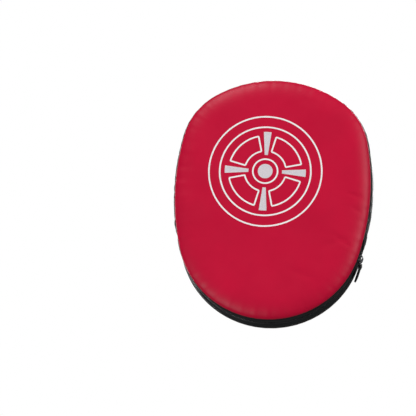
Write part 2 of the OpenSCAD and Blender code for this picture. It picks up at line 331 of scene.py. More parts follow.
class Surface:
    """A material with a Principled shader; sockets are given by name with _ for a space."""

    def __init__(self, name, color, roughness, **sockets):
        self.material = bpy.data.materials.new(name)
        self.material.use_nodes = True
        self.nodes = self.material.node_tree.nodes
        self.links = self.material.node_tree.links
        self.shader = self.nodes["Principled BSDF"]
        self.shader.inputs["Base Color"].default_value = (*color, 1)
        self.shader.inputs["Roughness"].default_value = roughness
        for key, value in sockets.items():
            self.shader.inputs[key.replace("_", " ")].default_value = value
        self.place = self.add("ShaderNodeTexCoord").outputs["Object"]

    def add(self, kind, **values):
        """A node, with its inputs and settings given by name."""
        node = self.nodes.new(kind)
        for key, value in values.items():
            if key in node.inputs:
                node.inputs[key].default_value = value
            else:
                setattr(node, key, value)
        return node

    def noise(self, **values):
        """The value of a noise texture over the object's own coordinates."""
        return self.texture("ShaderNodeTexNoise", "Fac", **values)

    def texture(self, kind, output, **values):
        """An output of a texture over the object's own coordinates."""
        node = self.add(kind, **values)
        self.links.new(self.place, node.inputs["Vector"])
        return node.outputs[output]

    def combine(self, operation, *terms):
        """A maths node's result over outputs and plain numbers."""
        node = self.add("ShaderNodeMath", operation=operation)
        for place, term in zip(node.inputs, terms):
            if isinstance(term, float):
                place.default_value = term
            else:
                self.links.new(term, place)
        return node.outputs["Value"]

    def tint(self, value, low, dark, high, light):
        """Colour the surface from dark to light as value goes from low to high."""
        ramp = self.add("ShaderNodeValToRGB")
        for stop, place, color in zip(ramp.color_ramp.elements, (low, high), (dark, light)):
            stop.position = place
            stop.color = (*color, 1)
        self.links.new(value, ramp.inputs["Fac"])
        self.links.new(ramp.outputs["Color"], self.shader.inputs["Base Color"])

    def uneven_gloss(self, value, low, high):
        """Roughness from low to high as value goes from 0 to 1."""
        spread = self.add("ShaderNodeMapRange", **{"To Min": low, "To Max": high})
        self.links.new(value, spread.inputs["Value"])
        self.links.new(spread.outputs["Result"], self.shader.inputs["Roughness"])

    def bump(self, height, strength, distance):
        """Raise the surface by height times distance, in metres."""
        node = self.add("ShaderNodeBump", Strength=strength, Distance=distance)
        self.links.new(height, node.inputs["Height"])
        self.links.new(node.outputs["Normal"], self.shader.inputs["Normal"])


def times(color, factor):
    """A colour made darker or lighter, each channel up to 1."""
    return tuple(min(1, c * factor) for c in color)


def leather(name, color, roughness, grain, grain_depth, mottle, **sockets):
    """Coated synthetic leather: a fine pebble grain, soft mottling and uneven gloss."""
    skin = Surface(name, color, roughness, **sockets)
    cloud = skin.noise(Scale=22.0, Detail=5.0, Roughness=0.6)
    skin.tint(cloud, 0.3, times(color, 1 - mottle), 0.7, times(color, 1 + mottle))
    smear = skin.noise(Scale=60.0, Detail=3.0)
    skin.uneven_gloss(smear, roughness - 0.07, roughness + 0.09)
    pebble = skin.texture("ShaderNodeTexVoronoi", "Distance", Scale=float(grain), feature="SMOOTH_F1",
                          Smoothness=0.6)
    pores = skin.noise(Scale=grain * 1.7, Detail=2.0)
    skin.bump(skin.combine("MULTIPLY_ADD", pores, 0.5, pebble), grain_depth, 0.0002)
    return skin.material


def woven(name, color, threads, depth):
    """Woven tape or thread: crossed threads, with painted shade that makes the colour darker between them.
    """
    tape = Surface(name, color, 0.8)
    along_x, along_y, along_z = [
        tape.texture("ShaderNodeTexWave", "Fac", Scale=threads / 20, Distortion=0.3, bands_direction=axis)
        for axis in "XYZ"]
    weave_and_gap_shade = tape.combine("MULTIPLY", tape.combine("MAXIMUM", along_x, along_y), along_z)
    # Painted shade: the colour darkens in the gaps between the threads; the same pattern also sets the bump.
    tape.tint(weave_and_gap_shade, 0.0, times(color, 0.45), 0.6, times(color, 1.5))
    tape.bump(weave_and_gap_shade, depth, 0.0003)
    return tape.material


def fuzzy(name, color, scale, depth, **sockets):
    """Pile, foam or raw fibre: a rough, speckled surface."""
    pile = Surface(name, color, 0.9, **sockets)
    fluff = pile.noise(Scale=float(scale), Detail=4.0, Roughness=0.7)
    pile.tint(fluff, 0.35, times(color, 0.4), 0.68, times(color, 2.0))
    pile.bump(fluff, depth, 0.0006)
    return pile.material


def worn_metal(name, plating, bare, roughness):
    """Dark plated metal with paler wear in patches."""
    metal = Surface(name, plating, roughness, Metallic=1.0)
    wear = metal.noise(Scale=420.0, Detail=6.0, Roughness=0.65)
    metal.tint(wear, 0.48, plating, 0.62, bare)
    metal.bump(wear, 0.15, 0.0001)
    return metal.material


def moulded(name, color, roughness, **sockets):
    """Moulded plastic or print with a fine gritty texture."""
    plastic = Surface(name, color, roughness, **sockets)
    grit = plastic.noise(Scale=2600.0, Detail=2.0)
    plastic.tint(grit, 0.3, times(color, 0.8), 0.7, times(color, 1.25))
    plastic.bump(grit, 0.2, 0.00008)
    return plastic.material


RED = leather("red_leather", (0.53, 0.004, 0.036), 0.42, grain=1100, grain_depth=0.2, mottle=0.05,
              Specular_IOR_Level=0.18)
BLACK = leather("black_leather", (0.010, 0.012, 0.013), 0.43, grain=1300, grain_depth=0.18, mottle=0.25,
                Specular_IOR_Level=0.38)
FACING = leather("facing_leather", (0.010, 0.012, 0.013), 0.52, grain=1300, grain_depth=0.2, mottle=0.25,
                 Specular_IOR_Level=0.30)
COVER = leather("cover_leather", (0.004, 0.005, 0.0065), 0.31, grain=1000, grain_depth=0.22, mottle=0.3,
                Specular_IOR_Level=0.36)
BACK = leather("back_leather", (0.034, 0.025, 0.024), 0.55, grain=800, grain_depth=0.4, mottle=0.25)
RAW_EDGE = fuzzy("raw_edge", (0.30, 0.28, 0.26), scale=1800, depth=0.5)
TAPE = woven("zip_tape", (0.010, 0.010, 0.012), threads=1500, depth=0.6)
COIL = moulded("zip_coil", (0.012, 0.012, 0.014), 0.35)
METAL = worn_metal("zip_metal", (0.10, 0.10, 0.11), (0.62, 0.62, 0.63), 0.28)
PULL = moulded("pull_plastic", (0.010, 0.011, 0.012), 0.42)
LOOP = fuzzy("loop_pile", (0.007, 0.008, 0.008), scale=480, depth=1.0, Sheen_Weight=0.08)
FIBRE = fuzzy("fibre", (0.10, 0.10, 0.10), scale=3000, depth=0.2)
HOOK = fuzzy("hook_pile", (0.012, 0.012, 0.013), scale=2400, depth=0.8)
THREAD = woven("thread", (0.16, 0.16, 0.17), threads=6000, depth=0.4)
DARK_THREAD = woven("dark_thread", (0.02, 0.02, 0.022), threads=6000, depth=0.4)
WHITE = moulded("print_white", (0.95, 0.91, 0.92), 0.45)
SILVER = moulded("print_silver", (0.72, 0.68, 0.72), 0.42, Metallic=0.15)
FOAM = fuzzy("core_foam", (0.25, 0.26, 0.27), scale=700, depth=0.7)


def painted(node, material):
    """A CAD node that stays, with its own material."""
    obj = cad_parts[node]
    obj.data.materials.clear()
    obj.data.materials.append(material)
    return obj


# ---- Threads ----

STITCH_GAP = 1.0
# How far a stitch's ends dip, its thickness to its width, and the smallest its ends narrow to, squared
STITCH_DIP, STITCH_FLATNESS, STITCH_END = 0.35, 0.8, 0.04


def stitches(name, path, normals, body, material, length=3.2, width=0.55, lift=0.12):
    """A row of stitches along a path: each is a small lens of thread that dips into the leather."""
    run = run_along(path)
    count = max(1, int(run[-1] / (length + STITCH_GAP)))
    pitch = run[-1] / count
    stations = np.linspace(-1, 1, 7)
    ring = full_turn(6)

    def along(values, place):
        return np.array([np.interp(place, run, values[:, i]) for i in range(3)])

    points, faces = [], []
    for k in range(count):
        faces += tube_faces(len(stations), len(ring), start=len(points))
        for t in stations:
            place = (k + 0.5) * pitch + t * length / 2
            n = unit(along(normals, place))
            side = np.cross(unit(along(path, place + 0.5) - along(path, place - 0.5)), n)
            r = width / 2 * math.sqrt(max(STITCH_END, 1 - t ** 2))
            c = along(path, place) + n * (lift - STITCH_DIP * t ** 4)
            points += [c + side * r * math.cos(a) + n * r * STITCH_FLATNESS * math.sin(a) for a in ring]
    return mesh_object(name, points, faces, body, material)


# ---- Striking face ----

FACE_COLS = 440
FACE_EDGE_ROWS = 16
FACE_INNER_ROWS = 45
# How far the rounded rim stands out past its seam
RIM_SWELL = 0.6
# Depth of the face's hidden side, and (inset, depth) of the rings from there to the seam
FACE_HIDDEN = 40.2
FACE_TUCK = ((3.0, 41.0), (2.5, 43.2), (2.0, 44.6))
face_swell = ripples(11)
face_pucker = periodic_ripples(12, 70)
# Creases in the face: both ends (x, z), half width and depth
FACE_CREASES = [
    ((62, -34), (84, -48), 2.6, 0.5), ((48, -52), (78, -38), 3.2, 0.35), ((18, -72), (52, -84), 3.4, 0.4),
    ((76, 8), (92, 4), 2.0, 0.55), ((80, -6), (93, -12), 2.2, 0.4), ((-60, -62), (-40, -78), 4.0, 0.3),
    ((22, 104), (44, 98), 3.6, 0.35), ((66, 70), (78, 52), 3.4, 0.35), ((-84, 40), (-90, 14), 3.0, 0.3),
]


def crease(x, z, start, end, half, depth):
    """Depth at (x, z) of a crease that fades towards its ends."""
    a = np.array(start, float)
    d = np.array(end, float) - a
    t = ((x - a[0]) * d[0] + (z - a[1]) * d[1]) / (d @ d)
    across = ((x - a[0]) * d[1] - (z - a[1]) * d[0]) / np.linalg.norm(d)
    return depth * bell(across, half) * np.exp(-((t - 0.5) * 2.2) ** 4)


def face_depth(x, z):
    """How far the face stands in front of the back panel at (x, z), away from its rounded edge."""
    dome = 1.6 * np.exp(-((x / 80) ** 2 + ((z - 5) / 100) ** 2))
    swell = 0.30 * face_swell(x / 62, z / 62)
    lines = sum(crease(x, z, *values) for values in FACE_CREASES)
    return BAND_W + CROWN + dome + swell - lines


def on_face(q, lift=0.0):
    """Points of the face at (x, z) pairs, lifted out of it."""
    y = curved_y(face_depth(q[..., 0], q[..., 1]), q[..., 1]) - lift
    return np.stack([q[..., 0], y, q[..., 1]], -1)


def crown_share(inset):
    """How much of the crown is reached at a distance in from the seam, from 0 to 1."""
    t = np.clip((inset - SEAM_IN) / (CROWN_EDGE - SEAM_IN), 0, 1)
    return (1 - (1 - t) ** 2.7) ** (1 / 2.1)


def face_ring(s, inset):
    """A ring of the face's rounded rim, inset from the outline."""
    share = crown_share(inset)
    q = inside(s, inset - RIM_SWELL * math.sin(math.pi * min(1.0, share)) ** 1.5)
    seam = BAND_W + 0.5
    tug = 0.35 * face_pucker(s) * math.exp(-inset / 7.0)
    return layer(q, seam + (face_depth(q[:, 0], q[:, 1]) - seam) * share + tug)


def hidden_rings(s, depth):
    """Rings of a panel's hidden side, from near its middle to near its edge."""
    edge = inside(s, 5.0)
    return [layer(PAD_MIDDLE + (edge - PAD_MIDDLE) * scale, depth) for scale in (0.3, 0.65, 1.0)]


def shrinking(edge, count):
    """count (x, z) rings in equal steps from edge to the pad's middle, without either."""
    scales = np.linspace(1, 0, count + 2)[1:-1]
    return [PAD_MIDDLE + (edge - PAD_MIDDLE) * scale for scale in scales]


def make_face():
    s = np.linspace(0, OUTLINE_L, FACE_COLS, endpoint=False)
    rings = hidden_rings(s, FACE_HIDDEN)
    rings += [pad_point(s, inset, depth) for inset, depth in FACE_TUCK]
    seam = SEAM_IN + 0.02
    rings += [face_ring(s, seam + (CROWN_EDGE - seam) * t ** 1.7) for t in np.linspace(0, 1, FACE_EDGE_ROWS)]
    rings += [on_face(q) for q in shrinking(inside(s, CROWN_EDGE), FACE_INNER_ROWS)]
    points, faces = ring_solid(rings, layer(PAD_MIDDLE, FACE_HIDDEN), on_face(PAD_MIDDLE))
    face = mesh_object("striking_face", points, faces, "pad", RED)
    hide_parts("face_panel", "face_foam")


# ---- Printed target on the face ----

TARGET = np.array([-8.0, 26.0])
PRINT_LIFT = 0.12
PRINT_SUNK = -0.3
PRINT_SHARP = 25
LINE_W = 1.8
LINE_SHOULDER = 0.12


def about_target(r, a):
    """(x, z) pairs at distance r from the target's centre, turned a radians from straight up."""
    return TARGET + np.stack([r * np.sin(a), r * np.cos(a)], -1)


def ribbon(name, path):
    """A printed white line along a closed path of (x, z) points."""
    d = np.roll(path, -1, 0) - np.roll(path, 1, 0)
    side = unit(np.stack([d[:, 1], -d[:, 0]], -1))
    half = LINE_W / 2
    flat = half - LINE_SHOULDER
    section = ((-half, PRINT_SUNK), (-flat, PRINT_LIFT), (flat, PRINT_LIFT), (half, PRINT_SUNK))
    points = np.concatenate([on_face(path + side * across, lift) for across, lift in section])
    faces = torus_faces(len(section), len(path))
    mesh_object(name, points, faces, "pad", WHITE, sharp=PRINT_SHARP)


def printed_disc(name, radius):
    """A printed silver disc at the target's centre."""
    a = full_turn(72)
    rings = [on_face(about_target(radius, a), PRINT_SUNK)]
    rings += [on_face(about_target(r, a), PRINT_LIFT) for r in np.linspace(radius, 0, 9)[:-1]]
    points, faces = ring_solid(rings, on_face(TARGET, PRINT_SUNK), on_face(TARGET, PRINT_LIFT))
    mesh_object(name, points, faces, "pad", SILVER, sharp=PRINT_SHARP)


def tick(name, r0, r1, middle, half):
    """A printed silver wedge between two radii, half degrees to each side of middle."""
    a = np.radians(np.linspace(middle - half, middle + half, 8))
    q = about_target(np.linspace(r0, r1, 8)[:, None], a)
    points, faces = closed_sheet(on_face(q, PRINT_LIFT), on_face(q, PRINT_SUNK))
    mesh_object(name, points, faces, "pad", SILVER, sharp=PRINT_SHARP)


def rounded(corners, radius, n):
    """A closed path round corners, each rounded by a quadratic curve of n points."""
    path = []
    for i, here in enumerate(corners):
        before, after = corners[i - 1], corners[(i + 1) % len(corners)]
        a = here + unit(before - here) * radius
        b = here + unit(after - here) * radius
        path += [(1 - t) ** 2 * a + 2 * t * (1 - t) * here + t ** 2 * b for t in np.linspace(0, 1, n)]
    dense = []
    for a, b in zip(path, path[1:] + path[:1]):
        pieces = max(1, int(np.linalg.norm(b - a) / 2.5))
        dense += [a + (b - a) * k / pieces for k in range(pieces)]
    return np.array(dense)


def sector_path(r0, r1, middle, half):
    """The outline of a sector of a ring, half degrees to each side of middle, with rounded corners."""
    a = np.radians(np.linspace(middle - half, middle + half, 14))
    return rounded(np.concatenate([about_target(r1, a), about_target(r0, a[::-1])]), 0.9, n=4)


def make_target():
    for name, radius, count in (("outer", 57, 140), ("inner", 46, 140), ("middle", 12.5, 90)):
        ribbon(f"target_ring_{name}", about_target(radius, full_turn(count)))
    for k in range(4):
        diagonal = 45 + 90 * k
        ribbon(f"target_arc_{k + 1}", sector_path(21, 37, diagonal, 31))
        tick(f"target_tick_{k + 1}", 17, 41, diagonal + 45, 5.5)
    printed_disc("target_centre", 7.5)


# ---- Side band and zip facings ----

BAND_BULGE = 1.8
LEATHER_T = 1.2
SEAM_TUCK, TUCK_REACH = 1.5, 1.1
HEM_W, HEM_ROUND, HEM_EXTRA_T = 12.0, 1.3, 0.9
# The deepest that the band's hidden side lies
BAND_HIDDEN = 2.6
FACING_BULGE = 1.1
FACING_W = 15.0
FACING_HIDDEN = (2.3, 2.62)
FOLD_ROUND = 1.0
STITCH_ROW = 16
band_swell = ripples(21)
band_pucker_front = periodic_ripples(22, 78)
band_pucker_back = periodic_ripples(23, 78)


def band_inset(s, t, bulge, loose=1.0):
    """How far in the band lies, t from 0 at the front seam to 1 at the back one."""
    front = t * BAND_W
    back = BAND_W - front
    tuck = SEAM_TUCK * np.exp(-front / TUCK_REACH) + SEAM_TUCK * np.exp(-back / TUCK_REACH)
    swell = loose * (0.5 * band_swell(s / 70, front / 60) + 0.14 * band_swell(s / 21 + 3, front / 26))
    pucker = 0.22 * band_pucker_front(s) * np.exp(-front / 6)
    pucker = pucker + 0.22 * band_pucker_back(s) * np.exp(-back / 6)
    at_tip = bell(np.mod(s, OUTLINE_L) - OUTLINE_L / 2, 55)
    dent = at_tip * (1.9 * bell(t - 0.42, 0.2) - 0.6 * bell(t - 0.86, 0.07))
    return tuck + dent - bulge * np.sin(math.pi * t) ** 0.75 - swell * np.sin(math.pi * t) - pucker


def hem_height(from_end):
    """How far the band's folded hem stands out, by distance from the band's end."""
    fold = (0.35 + 0.65 * smooth(2.5, 7.5, from_end)) * (1 - smooth(HEM_W - 1.5, HEM_W + 1.5, from_end))
    groove = 0.5 * bell(from_end - HEM_W, 0.8)
    return fold - groove - edge_drop(from_end, HEM_ROUND)


def make_side_band():
    start = distance_at_height(HEM_Z)
    end = OUTLINE_L - start
    near = np.array([0, 0.12, 0.3, 0.6, 0.9, 1.3, 1.8, 2.6, 4, 6, 8, 10, 11, 11.5, 12, 12.5, 13, 14, 16])
    s = np.concatenate([start + near, np.linspace(start + 18, end - 18, 260), end - near[::-1]])
    t = np.linspace(0, 1, 31)
    t = t - 0.07 * np.sin(2 * math.pi * t)
    S, T = np.meshgrid(s, t)
    E = np.minimum(S - start, end - S)
    bulge = BAND_BULGE * (0.1 + 0.9 * smooth(3, 34, E))
    inset = band_inset(S, T, bulge, smooth(1, 14, E))
    inset = inset - hem_height(E) * np.sin(math.pi * np.clip(T, 0.02, 0.98)) ** 0.2
    thick = LEATHER_T + HEM_EXTRA_T * (1 - smooth(HEM_W - 1, HEM_W + 1, E))
    depth = BAND_W * (1 - T)
    hidden = np.minimum(inset + thick, BAND_HIDDEN)
    points, faces = closed_sheet(pad_point(S, inset, depth), pad_point(S, hidden, depth))
    band = mesh_object("band_upper", points, faces, "pad", BLACK)
    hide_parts("side_band")
    for side, at in (("right", start + HEM_W), ("left", end - HEM_W)):
        across = np.linspace(0.05, 0.95, 60)
        row_s = np.full(60, at)
        path = pad_point(row_s, band_inset(row_s, across, BAND_BULGE * 0.5) + 0.1, BAND_W * (1 - across))
        stitches(f"hem_stitches_{side}", path, outward(row_s), "pad", THREAD)


def facing_grid(seam_depth, zip_edge, sign):
    """A facing's outer and inner surfaces, from its seam to its folded edge beside the zip."""
    end = distance_at_height(FACING_TOP)
    s = np.linspace(-end, end, 200)
    S, T = np.meshgrid(s, np.linspace(0, 1, 19))
    from_fold = (1 - T) * FACING_W
    under_hem = smooth(HEM_Z - 9, HEM_Z + 1, outline(S)[0][..., 1])
    swell = 0.45 * band_swell(S / 40 + 5, T * 0.8 + seam_depth)
    shape = np.sin(math.pi * np.clip(T, 0, 1) ** 0.8) ** 0.8
    inset = 1.45 + 1.2 * np.exp(-T * FACING_W) - (FACING_BULGE + swell) * shape * (1 - under_hem)
    inset = inset + edge_drop(from_fold, FOLD_ROUND) + 0.3 * bell(from_fold - 2.6, 0.6)
    q = inside(S, inset)
    seam_y = curved_y(seam_depth, q[..., 1])
    edge_y = ZIP_Y + zip_edge + 0.35 * band_swell(S / 25 + 9, T * 0 + sign)
    y = seam_y + (edge_y - seam_y) * T
    hidden = inside(S, np.clip(inset + LEATHER_T, *FACING_HIDDEN))
    outer = np.stack([q[..., 0], y, q[..., 1]], -1)
    inner = np.stack([hidden[..., 0], y, hidden[..., 1]], -1)
    return outer, inner, s


def make_facings():
    for name, seam_depth, sign in (("front", BAND_W - 0.4, -1), ("back", 0.5, 1)):
        outer, inner, s = facing_grid(seam_depth, sign * ZIP_SLOT, sign)
        points, faces = closed_sheet(outer, inner)
        facing = mesh_object(f"facing_{name}", points, faces, "pad", FACING)
        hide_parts(f"zip_facing_{name}")
        row = outer[STITCH_ROW]
        shown = row[:, 2] < HEM_Z + 1
        stitches(f"facing_stitches_{name}", row[shown], outward(s)[shown], "pad", DARK_THREAD, length=2.6,
                 lift=0.05, width=0.5)


# ---- Zip ----

# Degrees from +X down round the wrist end
TAPE_SPAN = (3, 174)
COIL_SPAN = (9.4, 167.6)
TOOTH_PITCH = 0.95
TAPE_T = 0.62
COIL_R = WRIST_R - 2.5
COIL_HALF = 1.15


def zip_point(radius, y, degrees):
    """A point on the zip's circles; degrees run from +X down round the wrist end."""
    a = np.radians(degrees)
    return np.stack(np.broadcast_arrays(radius * np.cos(a), y, WRIST_C[1] - radius * np.sin(a)), -1)


def make_zip_tape(name, sign):
    low, high = node_box(f"zip_tape_{name}")
    edge = max(abs(low[1] - ZIP_Y), abs(high[1] - ZIP_Y))
    A, Y = np.meshgrid(np.linspace(*TAPE_SPAN, 180), sign * np.array([2.5, 3.0, 4.0, 5.5, 8.0, edge]))
    outer = zip_point(TAPE_R + TAPE_T + 0.08 * np.sin(A * 7), ZIP_Y + Y, A)
    inner = zip_point(TAPE_R, ZIP_Y + Y, A)
    points, faces = closed_sheet(outer, inner)
    tape = mesh_object(f"tape_{name}", points, faces, "pad", TAPE)
    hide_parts(f"zip_tape_{name}")


def make_coil(name, sign):
    """One row of coil teeth: each a rounded loop from the tape's edge to the middle of the chain."""
    first, last = COIL_SPAN
    stagger = 0.5 if sign > 0 else 0.0
    section = full_turn(8)
    # Distance from the chain's middle, half width along the chain, and share of full height
    stations = ((2.35, 0.30, 1), (2.1, 0.42, 1), (1.4, 0.44, 1), (0.7, 0.46, 1), (0.15, 0.52, 1),
                (-0.18, 0.46, 1), (-0.34, 0.20, 0.6))
    points, faces = [], []
    for k in range(int((last - first) / TOOTH_PITCH)):
        faces += tube_faces(len(stations), len(section), start=k * len(stations) * len(section))
        at = first + (k + stagger) * TOOTH_PITCH
        for reach, half, share in stations:
            radius = COIL_R + COIL_HALF * share * np.sin(section)
            turn = at + np.degrees(half * np.cos(section) / COIL_R)
            points.append(zip_point(radius, ZIP_Y + sign * reach, turn))
    coil = mesh_object(f"coil_{name}", np.concatenate(points), faces, "pad", COIL)
    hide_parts(f"zip_coil_{name}")


def make_stops():
    for node in ("zip_stop_top", "zip_stop_bottom"):
        add_bevel(painted(node, METAL), 0.25, segments=2, angle=30, harden=False)


# ---- Slider, link and pull tab ----

SLIDER_ANGLE = math.radians(13)
ZIP_C = np.array([0, ZIP_Y, WRIST_C[1]])
PLATE_OUT, PLATE_IN, PLATE_T = WRIST_R + 0.6, WRIST_R - 5.6, 1.4
# Half of a slider plate's outline in Y and Z: wide shoulders where the rows part
PLATE_HALF = [(0.0, 5.0), (2.2, 5.1), (3.9, 4.6), (4.6, 3.2), (4.6, 0.6), (4.1, -2.0), (3.7, -4.4),
              (2.6, -4.9), (0.9, -5.0)]
PLATE = np.array(PLATE_HALF + [(-y, z) for y, z in PLATE_HALF[:0:-1]])
FLANGE = np.array([(3.4, 3.4), (4.5, 3.0), (4.4, 0), (3.7, -4.2), (3.1, -4.2), (3.2, 0)])
BRIDGE_RISE, BRIDGE_HALF_L = 2.7, 4.2
LINK_TILT = math.radians(21)
LINK_HALF_W = 3.0
WIRE_R = 0.65
POST_DROP = 8.0
POST_R, DISC_R = 1.15, 1.9
TAB_ANGLE = math.radians(62)
TAB_W, TAB_L, TAB_T, TAB_GAP = 8.5, 27.0, 1.8, 0.8
RIM_DEEP = 0.55


def placed(points, tilt, origin):
    """Points drawn with +X out of the pad and -Z along the zip, turned by tilt about Y to origin."""
    x, y, z = np.moveaxis(np.asarray(points, float), -1, 0)
    c, s = math.cos(tilt), math.sin(tilt)
    return np.stack([x * c + z * s, y, z * c - x * s], -1) + origin


EYE = placed([WRIST_R + 2.2, 0, 0], SLIDER_ANGLE, ZIP_C)
POST = placed([0, 0, -POST_DROP], LINK_TILT, EYE)


def slab(outline_yz, x0, x1):
    """Points and faces of a flat plate between x0 and x1, from its outline in Y and Z."""
    n = len(outline_yz)
    points = np.concatenate([np.column_stack([np.full(n, x), outline_yz]) for x in (x0, x1)])
    faces = [tuple(range(n))[::-1], tuple(range(n, 2 * n))]
    faces += [(i, (i + 1) % n, n + (i + 1) % n, n + i) for i in range(n)]
    return points, faces


def swept_tube(path, radii, sides=10):
    """Points and faces of a tube along a path; radii are one number or one per point."""
    directions = unit(np.gradient(path, axis=0))
    steep = abs(directions[:, 1]).max() >= 0.9
    ref = np.array([1.0, 0.0, 0.0]) if steep else np.array([0.0, 1.0, 0.0])
    points = []
    for c, t, r in zip(path, directions, np.broadcast_to(radii, (len(path),))):
        u = unit(np.cross(t, ref))
        v = np.cross(t, u)
        points += [c + r * (math.cos(a) * u + math.sin(a) * v) for a in full_turn(sides)]
    return np.array(points), tube_faces(len(path), sides)


def wire_loop(path, radius, sides=10):
    """Points and faces of a round wire along a closed path in Y and Z."""
    path = np.column_stack([0 * path[:, 0], path])
    out = np.array([1.0, 0.0, 0.0])
    across = np.cross(unit(np.roll(path, -1, 0) - np.roll(path, 1, 0)), out)
    a = full_turn(sides)[:, None]
    points = path[:, None] + radius * (np.cos(a) * out + np.sin(a) * across[:, None])
    return points.reshape(-1, 3), torus_faces(len(path), sides)


def post_circle(radius, sides):
    """A circle about the link's post, in Y and Z."""
    a = full_turn(sides)
    return np.column_stack([radius * np.sin(a), radius * np.cos(a) - POST_DROP])


def make_slider():
    parts = [slab(PLATE, PLATE_OUT - PLATE_T, PLATE_OUT), slab(PLATE * 0.97, PLATE_IN, PLATE_IN + PLATE_T)]
    inner_gap = (PLATE_IN + PLATE_T - 0.2, TAPE_R - 0.5)
    outer_gap = (TAPE_R + 1.1, PLATE_OUT - PLATE_T + 0.2)
    for side in (-1, 1):
        parts += [slab(FLANGE * (side, 1), *gap) for gap in (inner_gap, outer_gap)]
    points, faces = joined(parts)
    points = placed(points, SLIDER_ANGLE, ZIP_C)
    body = mesh_object("slider_body", points, faces, "slider", METAL, bevel=0.3)
    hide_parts("zip_slider")
    turn = np.linspace(-1, 1, 15)
    path = np.column_stack([PLATE_OUT - 0.3 + BRIDGE_RISE * (1 - turn ** 4), 0 * turn, BRIDGE_HALF_L * turn])
    points, faces = swept_tube(path, 0.75 + 0.25 * turn ** 2)
    points[:, 1] *= 1.25
    points = placed(points, SLIDER_ANGLE, ZIP_C)
    mesh_object("slider_bridge", points, faces, "slider", METAL)


def make_link():
    corners = np.array([(-LINK_HALF_W, 0), (LINK_HALF_W, 0), (LINK_HALF_W, -POST_DROP),
                        (-LINK_HALF_W, -POST_DROP)])
    disc = post_circle(DISC_R, 24)
    over_tab = TAB_GAP + TAB_T
    points, faces = joined([wire_loop(rounded(corners, 1.6, n=6), WIRE_R), slab(disc, -0.4, 0.5),
                            slab(post_circle(POST_R, 18), 0.4, over_tab + 0.4),
                            slab(disc, over_tab + 0.3, over_tab + 0.8)])
    link = mesh_object("link", placed(points, LINK_TILT, EYE), faces, "link", METAL, bevel=0.2)
    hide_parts("pull_link")


def make_tab():
    """A long rounded tab with a raised rim and grip bars, turned about the link's post."""
    around = full_turn(64)
    upper = np.cos(around) > 0
    end_z = np.where(upper, 0.0, TAB_W - TAB_L)
    taper = np.where(upper, 0.94, 1.0)
    floor = TAB_T - RIM_DEEP
    # Height of each ring over the tab's underside, and how far in from its edge it lies
    levels = [(0.0, 0.35), (0.35, 0.0), (TAB_T - 0.35, 0.0), (TAB_T, 0.35), (TAB_T, 1.1), (floor, 1.6)]
    rings = []
    for x, shrink in levels:
        r = (TAB_W / 2 - shrink) * taper
        rings.append(np.column_stack([np.full(64, x), r * np.sin(around), end_z + r * np.cos(around)]))
    centre = (TAB_W - TAB_L) / 2
    parts = [ring_solid(rings, [0, 0, centre], [floor, 0, centre])]
    bar = np.array([(-1.9, 0), (1.9, 0), (1.9, 0.7), (-1.9, 0.7)])
    parts += [slab(bar + (0, z), TAB_T - 0.7, TAB_T - 0.25) for z in np.arange(-16.5, -7.5, 1.8)]
    points, faces = joined(parts)
    x, y, z = points.T
    c, s = math.cos(TAB_ANGLE), math.sin(TAB_ANGLE)
    points = placed(np.stack([x + TAB_GAP, y * c - z * s, y * s + z * c], -1), LINK_TILT, POST)
    tab = mesh_object("tab", points, faces, "pull", PULL, bevel=0.12)
    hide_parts("pull_tab")


# ---- Back panel and core ----

BACK_COLS = 360
BACK_INNER_ROWS = 24
BACK_HIDDEN = 9.2
BACK_TUCK = ((3.2, 7.5), (2.9, 2.6), (1.6, 0.9))
# Insets of the rings from the seam to where the panel is flat
BACK_INSETS = (0.6, 0.15, 0.25, 0.7, 1.5, 2.6, 4.2, 6.5, 9.5, 13.0, 17.0, 22.0, 28.0)
BACK_STITCH_IN = 3.4
back_swell = ripples(31)
back_pucker = periodic_ripples(32, 80)


def back_y(x, z):
    """Y of the back panel's outer surface away from its edge."""
    return curved_y(0, z) - 0.12 + 0.12 * back_swell(x / 45, z / 45)


def on_back(q, drop=0.0):
    """Points of the back panel at (x, z) pairs, sunk by drop."""
    return np.stack([q[..., 0], back_y(q[..., 0], q[..., 1]) - drop, q[..., 1]], -1)


def back_fall(inset):
    """How far the back panel has fallen away towards its seam."""
    return 1.5 * math.exp(-inset / 3.2)


def make_back():
    s = np.linspace(0, OUTLINE_L, BACK_COLS, endpoint=False)
    rings = hidden_rings(s, BACK_HIDDEN)
    rings += [pad_point(s, inset, depth) for inset, depth in BACK_TUCK]
    for inset in BACK_INSETS:
        drop = back_fall(inset) + 0.25 * back_pucker(s) * math.exp(-inset / 6)
        rings.append(on_back(inside(s, inset), drop - (0.6 if inset < 0.5 else 0)))
    rings += [on_back(q) for q in shrinking(inside(s, BACK_INSETS[-1]), BACK_INNER_ROWS)]
    points, faces = ring_solid(rings, layer(PAD_MIDDLE, BACK_HIDDEN), on_back(PAD_MIDDLE))
    back = mesh_object("back_cover", points, faces, "pad", BACK)
    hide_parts("back_panel", "hand_foam")
    row_s = np.linspace(0, OUTLINE_L, 900)
    row = on_back(inside(row_s, BACK_STITCH_IN), back_fall(BACK_STITCH_IN) - 0.03)
    stitches("back_seam_stitches", row, np.tile([0.0, 1.0, 0.0], (900, 1)), "pad", THREAD, length=3.0,
             width=0.5, lift=0.08)


# ---- Hand cover ----

COVER_TOP, COVER_BOTTOM = node_box("finger_binding")[1][2], node_box("wrist_binding")[0][2]
COVER_HW, COVER_H, COVER_T = 47.0, 28.0, 1.3
COVER_CLEAR = 0.3
WRIST_ZONE = -31.0
STALLS = 4
# u runs from -1 to 1 across the arch, and on to this on the flanges
FLANGE_U = 1.1
FLANGE_W = 7.0
# How high the folds' bottoms and the outer stalls are, as a share of the crest
VALLEY = 0.2
OUTER_STALL = 0.42
STALL_LOW, STALL_FULL = 8.0, 74.0
HEM_LINE = 4.6
LIP_ROUND = 0.8
THUMB = np.array([-36.0, 19.0, 12.0])
THUMB_R, THUMB_DEPTH = 11.0, 28.0
THUMB_TURN = math.radians(50)
cover_swell = ripples(41)


